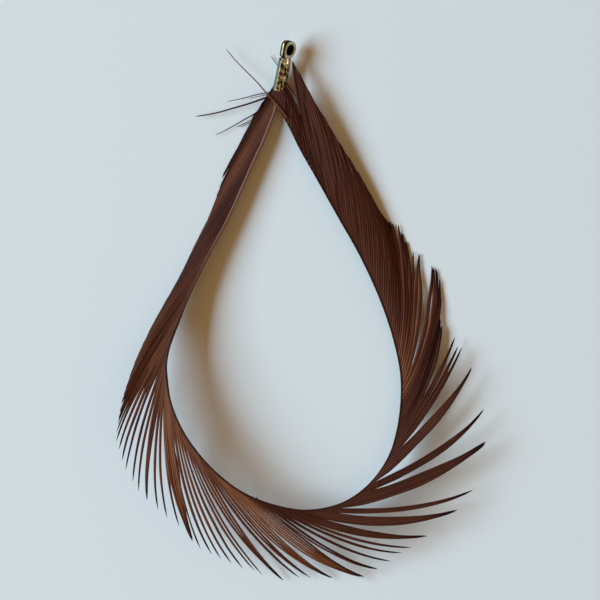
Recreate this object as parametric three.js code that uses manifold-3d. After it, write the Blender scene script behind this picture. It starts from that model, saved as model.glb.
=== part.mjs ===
// A feather earring drop: a one-sided strip of pheasant tail feather, bent into a teardrop loop,
// with both of its ends gripped in a small brass fold-over crimp end that carries an eye.
// Millimetres, +Z up. The loop lies on a surface at z = 0, with the crimp end towards +Y.

import * as THREE from "three";
import Module from "manifold-3d";
import { mergeVertices } from "three/addons/utils/BufferGeometryUtils.js";

// Driving dimensions of the feather strip.
const VANE_THICKNESS = 0.5;
const PINCHED_THICKNESS = 0.2; // inside the crimp, where the barbs are pressed together
const PINCHED_WIDTH = 0.8;
const PINCHED_GAP = 0.3; // between the two ends, one on the other
const PINCHED_DEPTH = 4.6; // how far the ends reach into the crimp
const MOUTH_GAP = -0.2; // where the pinched stretch starts, just outside the crimp's mouth
const LOCK_DEPTH = 0.16; // how far the notches between locks of barbs reach in, of a barb's length
const LOCKS_PER_STATION = 2;
const LAST_LOCK_THICKNESS = 0.35;
const LAST_LOCK_HEIGHT = 2.3;

// Driving dimensions of the brass crimp end. Its own frame has its mouth at the origin, +Y towards
// the eye, and +Z out of its folded front.
const CRIMP_MOUTH = new THREE.Vector3(-4.33, 41.2, 1.05);
const CRIMP_LEAN = THREE.MathUtils.degToRad(11.5);
const CRIMP_ROLL = THREE.MathUtils.degToRad(15);
const CRIMP_RISE = THREE.MathUtils.degToRad(12); // from the mouth up to the eye
const CRIMP_LENGTH = 6.05;
const CRIMP_WIDTH = 2.22;
const CRIMP_HEIGHT = 1.9;
const CRIMP_NARROWING = 0.04; // of the width, from the mouth to the eye
const BRASS_SHEET = 0.3;
const CORNER_RADIUS = 0.5;
const SEAM_WIDTH = 0.2; // between the two folded flaps
const EYE_ROLL = THREE.MathUtils.degToRad(53);
const EYE_CENTRE = new THREE.Vector3(0.15, 7.83, 0);
const EYE_HEIGHT = 3.5;
const EYE_HALF_WIDTH = 1.7;
const EYE_HOLE_RADIUS = 1.05;
const EYE_LENGTH = 1.25;
const EYE_CORNER_RADIUS = 0.4;
const NECK_OVERLAP = 0.5; // into the channel at its foot, where it meets the brass all round
const NECK_FOOT = [1.95, 1.4]; // width and depth
const NECK_HEAD = [1.5, 1.15];
const NECK_INTO_EYE = 0.55;
const NECK_TWIST_START = 0.4; // of the neck's height, clear of the channel's end

const wasm = await Module();
wasm.setup();

function toSolid(geometry) {
  geometry.deleteAttribute("normal");
  geometry.deleteAttribute("uv");
  const merged = mergeVertices(geometry);
  const vertProperties = new Float32Array(merged.attributes.position.array);
  const triVerts = new Uint32Array(merged.index.array);
  return new wasm.Manifold(new wasm.Mesh({ numProp: 3, vertProperties, triVerts }));
}

function toGeometry(solid) {
  const { vertProperties, triVerts } = solid.getMesh();
  const geometry = new THREE.BufferGeometry();
  geometry.setAttribute("position", new THREE.BufferAttribute(vertProperties, 3));
  geometry.setIndex(new THREE.BufferAttribute(triVerts, 1));
  geometry.computeVertexNormals();
  return geometry;
}

// From the crimp end's own frame to where it lies: leaning to the right, its eye raised, and rolled
// about its length.
const crimpPlace = new THREE.Matrix4()
  .makeTranslation(CRIMP_MOUTH)
  .multiply(new THREE.Matrix4().makeRotationZ(-CRIMP_LEAN))
  .multiply(new THREE.Matrix4().makeRotationX(CRIMP_RISE))
  .multiply(new THREE.Matrix4().makeRotationY(CRIMP_ROLL));

function pinched(side, along, layer) {
  const height = layer * (PINCHED_THICKNESS + PINCHED_GAP) / 2;
  return new THREE.Vector3(side * PINCHED_WIDTH / 2, along, height).applyMatrix4(crimpPlace);
}

// The feather strip is one ribbon between two edges. Each station pairs a point on the rachis,
// the strip's stiff inner edge, with the point that the barbs from there reach: x, y, z of the one
// and then of the other. The stations run from the crimp end down the left branch, round the bottom
// and up the right branch. The left branch stands on its outer edge, its rachis highest where the
// loop turns at the bottom, and the right branch lies nearly level and passes over it at the top.
const stations = [
  [-4.7, 38.0, 1.15, -7.6, 38.2, 0.7],
  [-6.3, 33.5, 1.8, -9.8, 34.4, 0.5],
  [-9.6, 26.1, 2.2, -13.3, 28.1, 0.4],
  [-13.6, 17.2, 2.5, -17.1, 18.8, 0.25],
  [-18.2, 8.5, 3.2, -21.6, 8.9, 0.25],
  [-21.9, 0.4, 4.1, -26.2, 0.2, 1.0],
  [-24.6, -6.9, 5.6, -30.2, -7.5, 3.8],
  [-25.2, -10.5, 6.3, -33.4, -15.5, 5.9],
  [-25.0, -13.2, 6.8, -34.7, -24.0, 6.2],
  [-24.6, -16.2, 7.1, -31.8, -32.1, 5.8],
  [-23.6, -19.4, 7.4, -25.4, -39.4, 4.6],
  [-21.9, -22.9, 7.6, -17.1, -45.8, 3.0],
  [-19.4, -26.5, 7.8, -9.0, -49.2, 1.7],
  [-16.0, -30.2, 7.7, -2.0, -50.8, 0.3],
  [-11.6, -33.6, 7.2, 5.8, -50.5, 0.25],
  [-5.6, -36.2, 6.2, 14.2, -48.7, 0.3],
  [1.5, -37.3, 5.2, 22.0, -43.6, 0.9],
  [7.9, -35.8, 4.4, 29.4, -37.5, 2.4],
  [12.0, -33.0, 3.9, 33.0, -31.5, 3.1],
  [14.6, -30.0, 3.5, 34.6, -24.6, 3.6],
  [16.5, -26.6, 3.1, 34.2, -18.4, 3.6],
  [17.7, -22.5, 2.8, 31.6, -11.4, 3.0],
  [18.4, -17.6, 2.5, 29.2, -5.1, 1.9],
  [18.4, -12.2, 2.3, 26.6, 1.9, 0.5],
  [17.3, -6.4, 2.1, 24.9, 7.6, 0.5],
  [15.7, -1.1, 2.0, 22.0, 10.2, 0.5],
  [13.4, 4.7, 2.0, 19.1, 13.8, 0.6],
  [10.4, 10.9, 2.1, 15.7, 17.4, 0.8],
  [6.7, 17.4, 2.3, 11.7, 23.6, 1.2],
  [2.4, 25.1, 2.5, 7.4, 30.6, 1.7],
  [-0.7, 30.6, 2.6, 3.9, 36.2, 2.3],
  [-2.6, 34.5, 2.5, 0.7, 38.6, 2.3],
  [-4.6, 38.0, 2.2, -1.9, 39.4, 2.0],
  [-5.5, 39.6, 1.85, -3.0, 40.1, 1.7],
];
const FIRST_LOCK_STATION = 10;
const LAST_LOCK_STATION = 27;
const SEGMENTS_PER_STATION = 2 * LOCKS_PER_STATION;
const SEGMENTS_ACROSS = 6;
const NORMAL_STEP = 0.002; // of the curves' length

const rachisPoints = [
  pinched(1, PINCHED_DEPTH, -1),
  pinched(1, MOUTH_GAP, -1),
  ...stations.map((station) => new THREE.Vector3(...station.slice(0, 3))),
  pinched(-1, MOUTH_GAP, 1),
  pinched(-1, PINCHED_DEPTH, 1),
];
const edgePoints = [
  pinched(-1, PINCHED_DEPTH, -1),
  pinched(-1, MOUTH_GAP, -1),
  ...stations.map((station) => new THREE.Vector3(...station.slice(3))),
  pinched(1, MOUTH_GAP, 1),
  pinched(1, PINCHED_DEPTH, 1),
];
const INTERVALS = rachisPoints.length - 1;
const rachisCurve = new THREE.CatmullRomCurve3(rachisPoints);
const edgeCurve = new THREE.CatmullRomCurve3(edgePoints);

function vanePoint(along, across) {
  return rachisCurve.getPoint(along).lerp(edgeCurve.getPoint(along), across);
}

function vaneNormal(along, across) {
  const ahead = vanePoint(Math.min(along + NORMAL_STEP, 1), across);
  const behind = vanePoint(Math.max(along - NORMAL_STEP, 0), across);
  const lengthwise = ahead.sub(behind);
  const outwards = vanePoint(along, 1).sub(vanePoint(along, 0));
  return outwards.cross(lengthwise).normalize();
}

// Where the barbs stand apart, the outer edge is notched between one lock of barbs and the next.
function reach(station) {
  if (station < FIRST_LOCK_STATION || station > LAST_LOCK_STATION) {
    return 1;
  }
  const inLock = (station * LOCKS_PER_STATION) % 1;
  return 1 - LOCK_DEPTH * (1 - Math.abs(2 * inLock - 1));
}

function thicknessAt(station) {
  const fromEnd = Math.min(station, INTERVALS - station);
  const blend = THREE.MathUtils.smoothstep(fromEnd, 1, 3);
  return THREE.MathUtils.lerp(PINCHED_THICKNESS, VANE_THICKNESS, blend);
}

function makeRibbon() {
  const segmentsAlong = INTERVALS * SEGMENTS_PER_STATION;
  const ribbon = new THREE.BoxGeometry(1, 1, 1, segmentsAlong, SEGMENTS_ACROSS, 1);
  const position = ribbon.attributes.position;
  const corner = new THREE.Vector3();
  for (let i = 0; i < position.count; i += 1) {
    corner.fromBufferAttribute(position, i);
    const along = corner.x + 0.5;
    const across = 0.5 - corner.y;
    const station = Math.round(along * segmentsAlong) / SEGMENTS_PER_STATION;
    const place = vanePoint(along, across * reach(station));
    place.addScaledVector(vaneNormal(along, across), corner.z * thicknessAt(station));
    position.setXYZ(i, place.x, place.y, place.z);
  }
  return toSolid(ribbon);
}

// The last lock of the right branch runs on past the crimp end's side to a point.
function makeLastLock() {
  const outline = new THREE.Shape();
  outline.moveTo(0.6, 36.2);
  outline.lineTo(3.8, 36.4);
  outline.quadraticCurveTo(1.2, 41.6, -1.75, 46.5);
  outline.quadraticCurveTo(-1.3, 41.6, 0.6, 36.2);
  const lock = new THREE.ExtrudeGeometry(outline, {
    depth: LAST_LOCK_THICKNESS,
    bevelEnabled: false,
    curveSegments: 6,
  });
  lock.translate(0, 0, LAST_LOCK_HEIGHT);
  return toSolid(lock);
}

// A cross-section of the crimp end: a rounded channel, its two flaps folded over to meet at a seam.
function makeCrimpBody() {
  const halfWidth = CRIMP_WIDTH / 2;
  const halfHeight = CRIMP_HEIGHT / 2;
  const innerRadius = CORNER_RADIUS - BRASS_SHEET;
  const seam = SEAM_WIDTH / 2;
  const turn = Math.PI / 2;
  const side = halfWidth - CORNER_RADIUS;
  const level = halfHeight - CORNER_RADIUS;
  const section = new THREE.Shape();
  section.moveTo(seam, halfHeight);
  section.absarc(side, level, CORNER_RADIUS, turn, 0, true);
  section.absarc(side, -level, CORNER_RADIUS, 0, -turn, true);
  section.absarc(-side, -level, CORNER_RADIUS, -turn, -2 * turn, true);
  section.absarc(-side, level, CORNER_RADIUS, 2 * turn, turn, true);
  section.lineTo(-seam, halfHeight);
  section.lineTo(-seam, halfHeight - BRASS_SHEET);
  section.absarc(-side, level, innerRadius, turn, 2 * turn, false);
  section.absarc(-side, -level, innerRadius, 2 * turn, 3 * turn, false);
  section.absarc(side, -level, innerRadius, -turn, 0, false);
  section.absarc(side, level, innerRadius, 0, turn, false);
  section.lineTo(seam, halfHeight - BRASS_SHEET);
  const body = new THREE.ExtrudeGeometry(section, {
    depth: CRIMP_LENGTH,
    bevelEnabled: false,
    curveSegments: 5,
    steps: 4,
  });
  body.rotateX(turn);
  body.translate(0, CRIMP_LENGTH, 0);
  body.rotateY(Math.PI);
  const position = body.attributes.position;
  for (let i = 0; i < position.count; i += 1) {
    const narrowed = 1 - CRIMP_NARROWING * position.getY(i) / CRIMP_LENGTH;
    position.setX(i, position.getX(i) * narrowed);
  }
  return toSolid(body);
}

// The eye is a strap bent into a short tube, flat where it rises and round where it comes back.
function makeEye() {
  const top = EYE_HEIGHT / 2;
  const flatSide = EYE_CORNER_RADIUS - EYE_HALF_WIDTH;
  const turn = Math.PI / 2;
  const outline = new THREE.Shape();
  outline.moveTo(flatSide, top);
  outline.absarc(flatSide, top - EYE_CORNER_RADIUS, EYE_CORNER_RADIUS, turn, 2 * turn);
  outline.absarc(flatSide, EYE_CORNER_RADIUS - top, EYE_CORNER_RADIUS, 2 * turn, 3 * turn);
  outline.absellipse(0, 0, EYE_HALF_WIDTH, top, -turn, turn, false, 0);
  const hole = new THREE.Path();
  hole.absarc(0, 0, EYE_HOLE_RADIUS, 0, 4 * turn, true);
  outline.holes.push(hole);
  const eye = new THREE.ExtrudeGeometry(outline, {
    depth: EYE_LENGTH,
    bevelEnabled: false,
    curveSegments: 12,
  });
  eye.translate(0, 0, -EYE_LENGTH / 2);
  eye.rotateY(EYE_ROLL - CRIMP_ROLL);
  eye.translate(EYE_CENTRE.x, EYE_CENTRE.y, EYE_CENTRE.z);
  return toSolid(eye);
}

// The neck closes the channel's upper end, and twists from the body's roll to the eye's.
function makeNeck() {
  const foot = CRIMP_LENGTH - NECK_OVERLAP;
  const head = EYE_CENTRE.y - EYE_HEIGHT / 2 + NECK_INTO_EYE;
  const neck = new THREE.BoxGeometry(1, 1, 1, 1, 5, 1);
  const position = neck.attributes.position;
  const corner = new THREE.Vector3();
  for (let i = 0; i < position.count; i += 1) {
    corner.fromBufferAttribute(position, i);
    const up = corner.y + 0.5;
    const width = THREE.MathUtils.lerp(NECK_FOOT[0], NECK_HEAD[0], up);
    const depth = THREE.MathUtils.lerp(NECK_FOOT[1], NECK_HEAD[1], up);
    const height = THREE.MathUtils.lerp(foot, head, up);
    const twist = THREE.MathUtils.smoothstep(up, NECK_TWIST_START, 1);
    corner.set(corner.x * width, 0, corner.z * depth);
    corner.applyAxisAngle(new THREE.Vector3(0, 1, 0), twist * (EYE_ROLL - CRIMP_ROLL));
    position.setXYZ(i, corner.x + up * EYE_CENTRE.x, height, corner.z);
  }
  return toSolid(neck);
}

const vane = new THREE.MeshStandardMaterial({ color: 0x4a2a22, roughness: 0.75, metalness: 0 });
const brass = new THREE.MeshStandardMaterial({ color: 0x8a6a34, roughness: 0.4, metalness: 1 });

const feather = new THREE.Mesh(toGeometry(makeRibbon().add(makeLastLock())), vane);
feather.name = "feather";

const crimpSolid = makeCrimpBody().add(makeNeck()).add(makeEye());
const crimpEnd = new THREE.Mesh(toGeometry(crimpSolid), brass);
crimpEnd.name = "crimp_end";
crimpEnd.applyMatrix4(crimpPlace);

// The origin is at the middle of the loop's box, on the surface that it lies on.
const group = new THREE.Group();
group.add(feather, crimpEnd);
const box = new THREE.Box3().setFromObject(group, true);
const centre = box.getCenter(new THREE.Vector3());
group.position.set(-centre.x, -centre.y, -box.min.z);

export default group;
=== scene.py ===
import math
import bpy
import numpy as np
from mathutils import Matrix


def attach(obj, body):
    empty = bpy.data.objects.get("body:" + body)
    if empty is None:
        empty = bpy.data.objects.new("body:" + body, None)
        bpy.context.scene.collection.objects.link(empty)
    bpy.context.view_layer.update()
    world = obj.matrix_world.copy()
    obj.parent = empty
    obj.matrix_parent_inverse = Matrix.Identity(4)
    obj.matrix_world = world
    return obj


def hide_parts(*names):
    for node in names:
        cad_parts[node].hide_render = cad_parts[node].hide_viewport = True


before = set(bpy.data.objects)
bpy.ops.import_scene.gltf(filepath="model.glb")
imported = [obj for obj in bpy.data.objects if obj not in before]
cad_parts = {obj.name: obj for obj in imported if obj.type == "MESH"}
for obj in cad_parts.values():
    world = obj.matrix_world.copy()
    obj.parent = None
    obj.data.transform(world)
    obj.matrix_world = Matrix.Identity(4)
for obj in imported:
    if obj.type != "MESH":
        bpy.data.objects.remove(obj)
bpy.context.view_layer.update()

# ---------------------------------------------------------------- spine
# The split spine of a pheasant's tail feather: one half of the horny shaft, dark brown outside.
# It bends into the teardrop loop, and both of its ends are pinched in the brass crimp.

MM = 0.001
DRAWING_ZERO = np.array([0.0445, 0.2062, 0.0530])  # from the part's origin to the drawing's zero, mm
CRIMP_MOUTH = np.array([-4.33, 41.2, 1.05])
CRIMP_LEAN = math.radians(11.5)
CRIMP_ROLL = math.radians(15)
CRIMP_RISE = math.radians(12)

# the inner edge of the spine, once round the loop, from 3 mm before the crimp's mouth on the
# left to 1 mm before it on the right, mm
SPINE_EDGE = [
    (-4.7, 38.0, 1.15), (-6.3, 33.5, 1.8), (-9.6, 26.1, 2.2), (-13.6, 17.2, 2.5), (-18.2, 8.5, 3.2),
    (-21.9, 0.4, 4.1), (-22.9, -2.3, 4.6), (-23.8, -4.6, 5.1), (-24.6, -6.9, 5.6), (-25.2, -10.5, 6.3),
    (-25.0, -13.2, 6.8), (-24.6, -16.2, 7.1), (-23.6, -19.4, 7.4), (-21.9, -22.9, 7.6), (-19.4, -26.5, 7.8),
    (-16.0, -30.2, 7.7), (-11.6, -33.6, 7.2), (-5.6, -36.2, 6.2), (1.5, -37.3, 5.2),
    (7.9, -35.8, 4.4), (12.0, -33.0, 3.9), (14.6, -30.0, 3.5), (16.5, -26.6, 3.1),
    (17.7, -22.5, 2.8), (18.4, -17.6, 2.5), (18.4, -12.2, 2.3), (17.3, -6.4, 2.1),
    (15.7, -1.1, 2.0), (13.4, 4.7, 2.0), (10.4, 10.9, 2.1), (6.7, 17.4, 2.3), (2.4, 25.1, 2.5),
    (-0.7, 30.6, 2.6), (-2.6, 34.5, 2.5), (-4.6, 38.0, 2.2), (-5.7, 39.5, 1.9), (-6.1, 40.3, 1.7),
]
SPINE_WIDTH_AT_BASE = 0.5
SPINE_WIDTH_AT_TIP = 0.27
SPINE_DEPTH = 0.62  # of its width
SPINE_STATIONS = 900
SPINE_LUMPS = 140  # small changes of its width
LUMP_SIZE = 0.06  # of the width
END_GAP = 0.02  # mm, left free at both ends of its line


def in_crimp(x, y, z):
    """A point given across, along and above the crimp's mouth, in the drawing, mm."""
    x, z = (x * math.cos(CRIMP_ROLL) + z * math.sin(CRIMP_ROLL),
            z * math.cos(CRIMP_ROLL) - x * math.sin(CRIMP_ROLL))
    y, z = (y * math.cos(CRIMP_RISE) - z * math.sin(CRIMP_RISE),
            y * math.sin(CRIMP_RISE) + z * math.cos(CRIMP_RISE))
    return CRIMP_MOUTH + np.array([x * math.cos(CRIMP_LEAN) + y * math.sin(CRIMP_LEAN),
                                   y * math.cos(CRIMP_LEAN) - x * math.sin(CRIMP_LEAN), z])


def smooth_line(points, step=0.1):
    """A smooth line through points, sampled about every step: places and lengths along it."""
    points = np.array(points, float)
    along = np.concatenate([[0], np.cumsum(np.linalg.norm(np.diff(points, axis=0), axis=1))])
    slope = np.gradient(points, along, axis=0)
    u = np.linspace(0, along[-1], max(2, int(along[-1] / step)))
    i = np.clip(np.searchsorted(along, u, side="right") - 1, 0, len(points) - 2)
    h = (along[i + 1] - along[i])[:, None]
    x = (u - along[i])[:, None] / h
    place = ((2 * x**3 - 3 * x**2 + 1) * points[i] + (x**3 - 2 * x**2 + x) * h * slope[i]
             + (3 * x**2 - 2 * x**3) * points[i + 1] + (x**3 - x**2) * h * slope[i + 1])
    length = np.concatenate([[0], np.cumsum(np.linalg.norm(np.diff(place, axis=0), axis=1))])
    return place, length


def unit(v):
    """The same directions, each one long."""
    return v / np.maximum(np.linalg.norm(v, axis=-1, keepdims=True), 1e-9)


def mesh_piece(name, points, faces, floats, material):
    """One joined mesh from points in drawing mm, with its own float values per point."""
    mesh = bpy.data.meshes.new(name)
    mesh.from_pydata(((np.asarray(points) + DRAWING_ZERO) * MM).tolist(), [], faces)
    for key, values in floats.items():
        mesh.attributes.new(key, "FLOAT", "POINT").data.foreach_set("value", np.asarray(values, np.float32))
    mesh.polygons.foreach_set("use_smooth", [True] * len(mesh.polygons))
    mesh.materials.append(material)
    mesh.update()
    piece = bpy.data.objects.new(name, mesh)
    bpy.context.scene.collection.objects.link(piece)
    return piece


def tube_faces(stations, ring):
    """The faces of a closed tube: its sides from station to station, then its two ends."""
    faces = []
    for j in range(stations - 1):
        for k in range(ring):
            a, b = j * ring + k, j * ring + (k + 1) % ring
            faces.append((a, b, b + ring, a + ring))
    faces.append(tuple(range(ring - 1, -1, -1)))
    faces.append(tuple(range((stations - 1) * ring, stations * ring)))
    return faces


def swept(path, across, up, section):
    """A closed skin along path: section holds, for each station, rings of (across, up) offsets."""
    points = path[:, None] + across[:, None] * section[..., :1] + up[:, None] * section[..., 1:]
    return points.reshape(-1, 3), tube_faces(*section.shape[:2])


def nodes_of(material):
    """A material's node tree and shader, and functions that add and join its nodes."""
    material.use_nodes = True
    tree = material.node_tree
    shader = tree.nodes["Principled BSDF"]

    def add(kind, **sockets):
        node = tree.nodes.new(kind)
        for key, value in sockets.items():
            if key in node.inputs:
                node.inputs[key].default_value = value
            else:
                setattr(node, key, value)
        return node

    def join(a, a_socket, b, b_socket):
        tree.links.new(a.outputs[a_socket], b.inputs[b_socket])

    return tree, shader, add, join


def colour_steps(ramp, steps):
    """Sets a colour ramp's stops from (place, (r, g, b)) pairs."""
    stops = ramp.color_ramp.elements
    while len(stops) > 2:
        stops.remove(stops[-1])
    for n, (place, colour) in enumerate(steps):
        stop = stops[n] if n < 2 else stops.new(place)
        stop.position = place
        stop.color = (*colour, 1)


horn = bpy.data.materials.new("spine_horn")
tree, shader, add, join = nodes_of(horn)
shader.inputs["Roughness"].default_value = 0.6
shader.inputs["Specular IOR Level"].default_value = 0.05
place = add("ShaderNodeTexCoord")
grain = add("ShaderNodeTexNoise", Scale=900.0, Detail=6.0, Roughness=0.6)
join(place, "Object", grain, "Vector")
horn_tone = add("ShaderNodeValToRGB")
colour_steps(horn_tone, [(0.25, (0.018, 0.008, 0.006)), (0.6, (0.050, 0.020, 0.014)),
                         (0.85, (0.110, 0.048, 0.030))])
join(grain, "Fac", horn_tone, "Fac")
# the spine is paler towards the end nearest the feather's root
from_root = add("ShaderNodeAttribute", attribute_name="along")
pale_end = add("ShaderNodeValToRGB")
colour_steps(pale_end, [(0.10, (1.0, 1.0, 1.0)), (0.24, (0.0, 0.0, 0.0))])
join(from_root, "Fac", pale_end, "Fac")
paler_root_end = add("ShaderNodeMix", data_type="RGBA", blend_type="MIX")
join(pale_end, "Color", paler_root_end, 0)
tree.links.new(horn_tone.outputs["Color"], paler_root_end.inputs[6])
paler_root_end.inputs[7].default_value = (0.19, 0.095, 0.066, 1)
tree.links.new(paler_root_end.outputs[2], shader.inputs["Base Color"])
dents = add("ShaderNodeBump", Strength=0.35, Distance=0.00005)
join(grain, "Fac", dents, "Height")
join(dents, "Normal", shader, "Normal")

whole_edge = ([in_crimp(0.35, 3.2, -0.2), in_crimp(0.35, 0.6, -0.2)] + SPINE_EDGE
              + [in_crimp(-0.72, 0.5, 0.25), in_crimp(-0.45, 3.2, 0.25)])
edge_line, edge_length = smooth_line(whole_edge, 0.12)
start_length = edge_length[np.argmin(np.linalg.norm(edge_line - np.array(SPINE_EDGE[0]), axis=1))]
finish_length = edge_length[np.argmin(np.linalg.norm(edge_line - np.array(SPINE_EDGE[-1]), axis=1))]
LOOP_LENGTH = finish_length - start_length


def edge_at(s):
    """The spine's edge s mm from the loop's start: its place, its direction and its outward side."""
    s = np.asarray(s, float) + start_length
    at = np.stack([np.interp(s, edge_length, edge_line[:, k]) for k in range(3)], -1)
    ahead = np.stack([np.interp(s + 0.6, edge_length, edge_line[:, k]) for k in range(3)], -1)
    behind = np.stack([np.interp(s - 0.6, edge_length, edge_line[:, k]) for k in range(3)], -1)
    forward = unit(ahead - behind)
    outward = unit(np.stack([forward[..., 1], -forward[..., 0], 0 * s], -1))
    return at, forward, outward


def spine_width(s):
    """The spine's width s mm from the loop's start, mm."""
    share = np.clip(np.asarray(s, float) / LOOP_LENGTH, 0, 1)
    return SPINE_WIDTH_AT_BASE + (SPINE_WIDTH_AT_TIP - SPINE_WIDTH_AT_BASE) * share


stations = np.linspace(END_GAP - start_length, edge_length[-1] - start_length - END_GAP, SPINE_STATIONS)
at, forward, outward = edge_at(stations)
share = np.clip(stations / LOOP_LENGTH, 0, 1)
width = spine_width(stations)
chance = np.random.default_rng(11)
lumps_at = np.linspace(-5, 195, SPINE_LUMPS)
width = width * (1 + LUMP_SIZE * np.interp(stations, lumps_at, chance.normal(0, 1, SPINE_LUMPS)))
height = width * SPINE_DEPTH
upward = unit(np.cross(outward, forward))
upward[upward[:, 2] < 0] *= -1
ring = np.array([(-0.5, -0.35), (-0.5, 0.22), (-0.36, 0.45), (-0.08, 0.56), (0.22, 0.48), (0.46, 0.2),
                 (0.5, -0.1), (0.3, -0.4), (0.0, -0.5), (-0.32, -0.48)])
section = np.stack([ring[None, :, 0] * width[:, None], ring[None, :, 1] * height[:, None]], -1)
points, faces = swept(at + outward * width[:, None] * 0.5, outward, upward, section)
spine = mesh_piece("spine", points, faces, {"along": np.repeat(share, len(ring))}, horn)
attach(spine, "root")
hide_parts("feather")

# ---------------------------------------------------------------- barbs
# The single vane that was left on the outer side of the spine: about two hundred barbs, each a
# stiff fibre with a ridge down its middle and thin flanges that lock into its neighbours'.
# They grow in order along the spine and sweep towards the feather's tip in locks of 1 to 6.

BARB_SPACING = 1.03
BARB_STATIONS = 84
ZIPPED_REACH = 0.42  # of a flange, mm, where barbs hold on to each other
LOOSE_REACH = 0.26  # of a flange, mm, where they have come apart
HELD_REACH = 3.9  # how far before the loop's start the first roots lie at most, mm
HELD_SPREAD = 0.045  # sideways, for each mm that a root would lie before that start
HELD_DROP = 0.012  # downwards, likewise
HANDLE = 0.33  # of the straight line, over which each end of a barb keeps its direction
DRAWN_SPACING = 0.42  # mm, between barbs whose tips are drawn together
DRAWN_CLOSER = 0.385  # mm, that their tips lie closer
SIDE_WAVER = 0.05  # how far a barb wavers sideways, mm
LIFT_WAVER = 0.03  # and up and down
LOWEST_BARB = 0.12  # above the drawing's zero, mm

# One row for each lock, in order round the loop: barbs, tip x, y, z (mm), turn at the root and
# at the tip (degrees from the straight line), gather (1 draws the tips together), split (share
# of the length where the lock comes loose), fill (how much of each gap the flanges cover), warmth
LOCKS_FROM_CRIMP = [
    (3, -7.9, 37.9, 0.9, 2, 5, 0.0, 0.97, 1.25, -0.3),
    (4, -9.2, 35.8, 0.5, 0, 6, 0.0, 0.97, 1.25, -0.45),
    (4, -11.1, 32.3, 0.4, -2, 7, 0.0, 0.97, 1.25, -0.35),
    (4, -12.9, 28.7, 0.4, -3, 7, 0.0, 0.97, 1.25, -0.3),
    (3, -14.9, 25.2, 0.5, -3, 3, 0.4, 0.86, 1.2, -0.1),
    (3, -15.7, 22.0, 0.5, -3, 5, 0.3, 0.9, 1.2, 0.0),
    (3, -17.2, 18.2, 0.4, -3, 7, 0.0, 0.97, 1.25, 0.4),
    (3, -19.1, 13.6, 0.5, -3, 4, 0.3, 0.9, 1.2, 0.6),
]
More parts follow.
